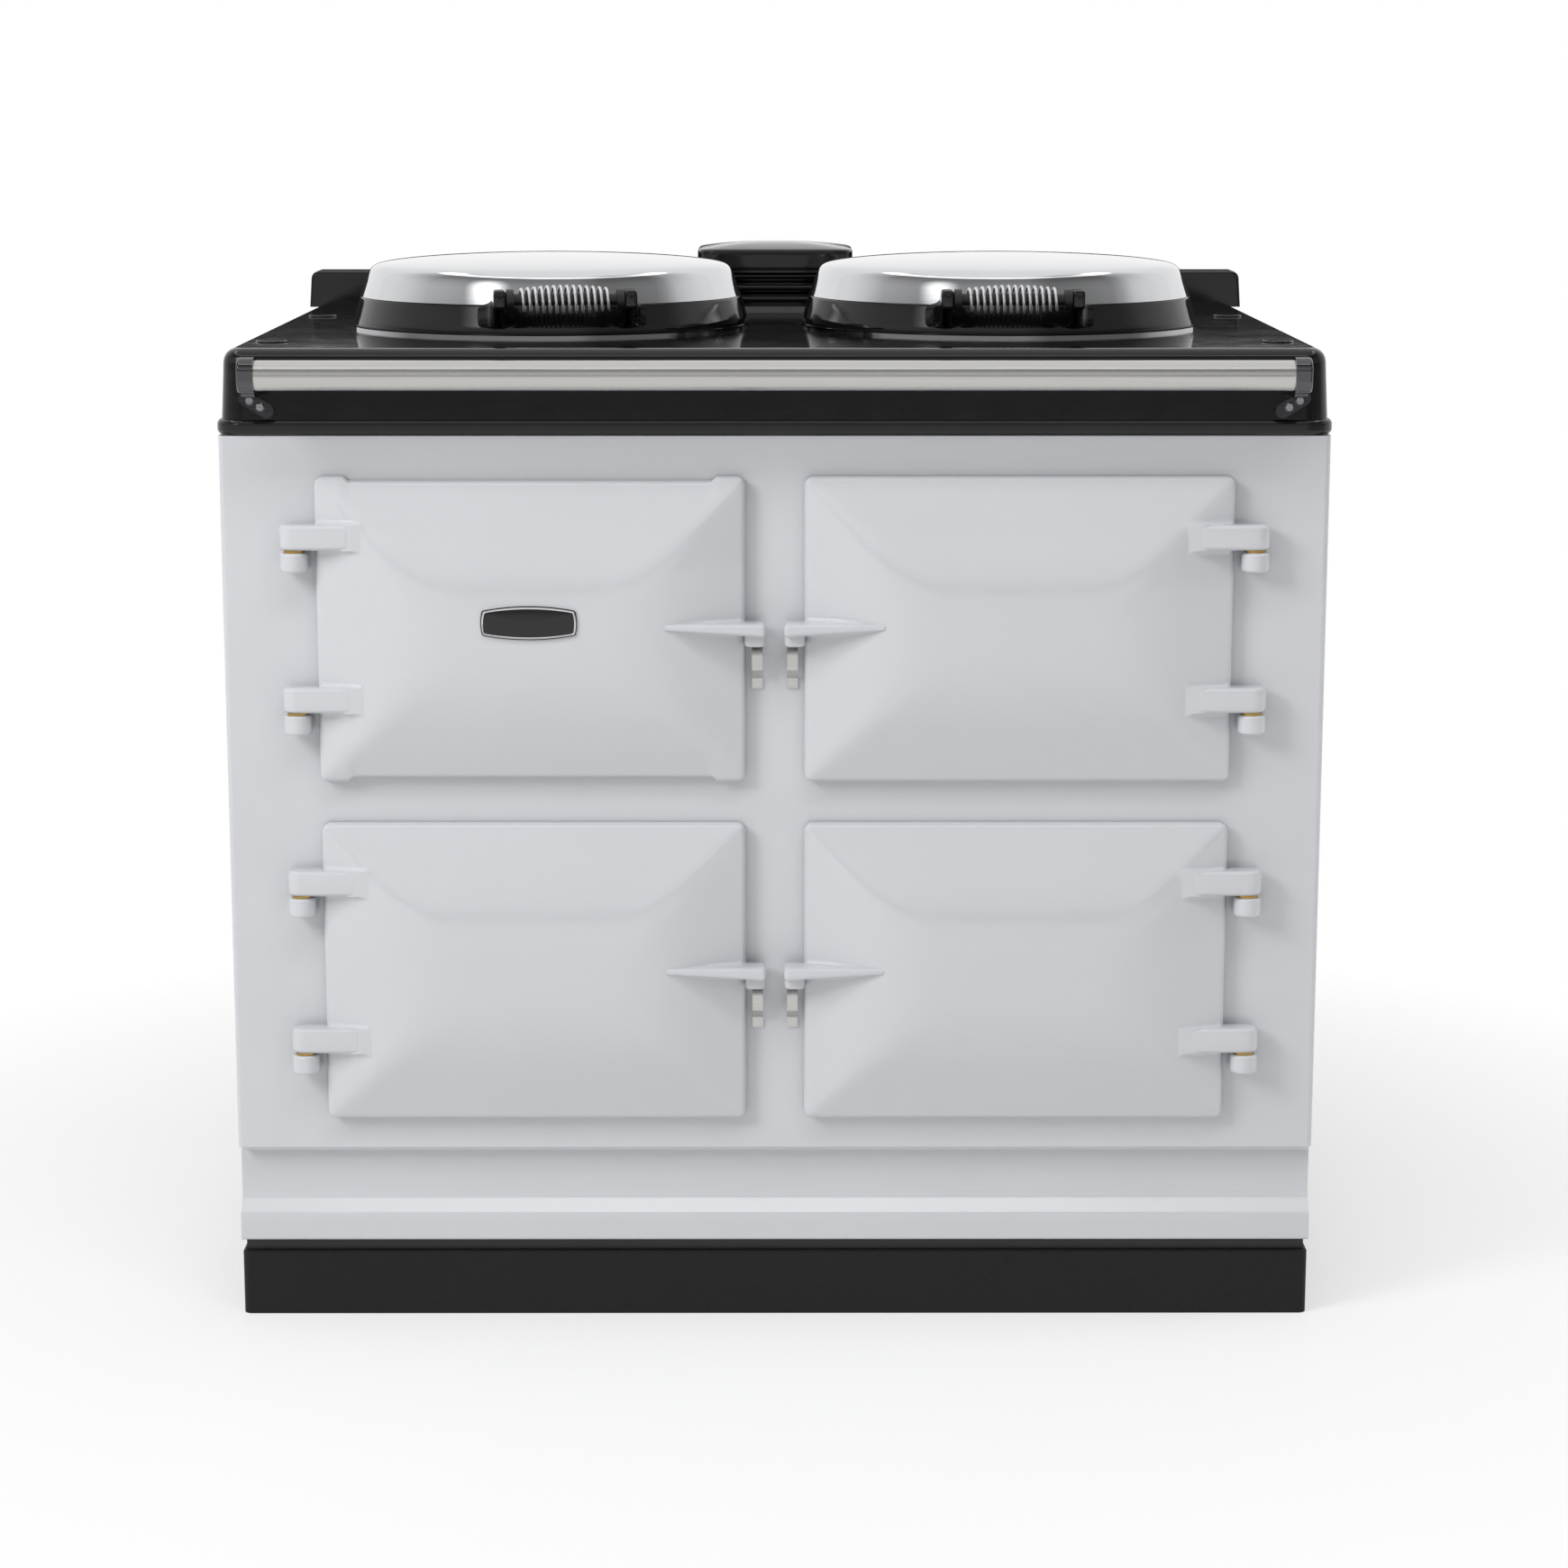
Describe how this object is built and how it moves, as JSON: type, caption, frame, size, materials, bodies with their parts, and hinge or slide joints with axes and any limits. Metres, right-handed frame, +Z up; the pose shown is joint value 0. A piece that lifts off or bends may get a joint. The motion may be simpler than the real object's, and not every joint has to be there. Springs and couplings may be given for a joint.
{
  "type": "range cooker",
  "caption": "Range cooker with hinged cast doors over ovens, round lidded hotplates with spring grips, a front hand rail, a rear flue and a plinth.",
  "frame": {"origin": "on the floor, in the middle of the width and of the whole depth, hand rail included", "axes": "+X to the right of the cook who faces the cooker, -Y towards the cook, +Z up"},
  "size_m": [0.987, 0.759, 0.955],
  "materials": {
    "pale_enamel": "gloss",
    "black_enamel": "gloss",
    "plinth_black": "textured matt",
    "polished_chrome": "mirror",
    "brushed_steel": "brushed",
    "hotplate_iron": "machined",
    "oven_enamel": "vitreous",
    "zinc_sheet": "zinc plated",
    "liner_steel": "satin",
    "aluminium_liner": "satin",
    "brass": "satin",
    "black_steel": "satin",
    "black_plastic": "satin",
    "amber_lens": "gloss",
    "rope_seal": "woven",
    "mineral_wool": "matt",
    "plaque_black": "gloss"
  },
  "bodies": {
    "cooker": {"plinth": "plinth_black", "base_tray": "black_steel", "levelling_feet": "zinc_sheet", "skirt": "pale_enamel", "side_panel_left": "pale_enamel", "side_panel_right": "pale_enamel", "back_panel": "zinc_sheet", "front_plate": "pale_enamel", "top_plate": "black_enamel", "rear_upstand": "black_enamel", "flue_box": "black_enamel", "flue_cap": "black_enamel", "cover_discs": "black_enamel", "rail": "brushed_steel", "rail_bracket_left": "polished_chrome", "rail_bracket_right": "polished_chrome", "bracket_screws": "polished_chrome", "boiling_plate": "hotplate_iron", "simmering_plate": "hotplate_iron", "hob_rims": "polished_chrome", "lid_hinge_bases": "black_enamel", "lid_hinge_pins": "polished_chrome", "hinge_knuckles": "pale_enamel", "hinge_pins": "brushed_steel", "hinge_washers": "brass", "door_catches": "brushed_steel", "control_panel": "zinc_sheet", "control_lamp": "amber_lens", "oven_roasting": "oven_enamel", "oven_simmering": "oven_enamel", "oven_baking": "oven_enamel", "oven_shelves": "polished_chrome", "heating_elements": "black_steel", "insulation": "mineral_wool", "cable_gland": "black_plastic"},
    "lid_left": {"lid_left_ring": "black_enamel", "lid_left_dome": "polished_chrome", "lid_left_liner": "aluminium_liner", "lid_left_coil": "polished_chrome", "lid_left_core": "black_steel"},
    "lid_right": {"lid_right_ring": "black_enamel", "lid_right_dome": "polished_chrome", "lid_right_liner": "aluminium_liner", "lid_right_coil": "polished_chrome", "lid_right_core": "black_steel"},
    "door_control_body": {"door_control": "pale_enamel", "liner_control": "liner_steel", "badge_plate": "plaque_black"},
    "door_roasting_body": {"door_roasting": "pale_enamel", "liner_roasting": "liner_steel", "seal_roasting": "rope_seal"},
    "door_simmering_body": {"door_simmering": "pale_enamel", "liner_simmering": "liner_steel", "seal_simmering": "rope_seal"},
    "door_baking_body": {"door_baking": "pale_enamel", "liner_baking": "liner_steel", "seal_baking": "rope_seal"},
    "knob_boiling_body": {"knob_boiling": "black_plastic"},
    "knob_simmering_body": {"knob_simmering": "black_plastic"},
    "knob_ovens_body": {"knob_ovens": "black_plastic"}
  },
  "joints": [
    {"name": "lid_left_hinge", "type": "hinge", "parent": "cooker", "child": "lid_left", "pos_m": [-0.215, 0.2115, 0.9], "axis": [-1, 0, 0], "range_deg": [0, 95]},
    {"name": "lid_right_hinge", "type": "hinge", "parent": "cooker", "child": "lid_right", "pos_m": [0.215, 0.2115, 0.9], "axis": [-1, 0, 0], "range_deg": [0, 95]},
    {"name": "door_control_hinge", "type": "hinge", "parent": "cooker", "child": "door_control_body", "pos_m": [-0.424, -0.332, 0.6375], "axis": [0, 0, -1], "range_deg": [0, 115]},
    {"name": "door_roasting_hinge", "type": "hinge", "parent": "cooker", "child": "door_roasting_body", "pos_m": [0.424, -0.332, 0.6375], "axis": [0, 0, 1], "range_deg": [0, 115]},
    {"name": "door_simmering_hinge", "type": "hinge", "parent": "cooker", "child": "door_simmering_body", "pos_m": [-0.424, -0.332, 0.3265], "axis": [0, 0, -1], "range_deg": [0, 115]},
    {"name": "door_baking_hinge", "type": "hinge", "parent": "cooker", "child": "door_baking_body", "pos_m": [0.424, -0.332, 0.3265], "axis": [0, 0, 1], "range_deg": [0, 115]},
    {"name": "knob_boiling_turn", "type": "hinge", "parent": "cooker", "child": "knob_boiling_body", "pos_m": [-0.302, -0.2105, 0.6155], "axis": [0, 1, 0], "range_deg": [0, 270]},
    {"name": "knob_simmering_turn", "type": "hinge", "parent": "cooker", "child": "knob_simmering_body", "pos_m": [-0.216, -0.2105, 0.6155], "axis": [0, 1, 0], "range_deg": [0, 270]},
    {"name": "knob_ovens_turn", "type": "hinge", "parent": "cooker", "child": "knob_ovens_body", "pos_m": [-0.13, -0.2105, 0.6155], "axis": [0, 1, 0], "range_deg": [0, 270]}
  ]
}
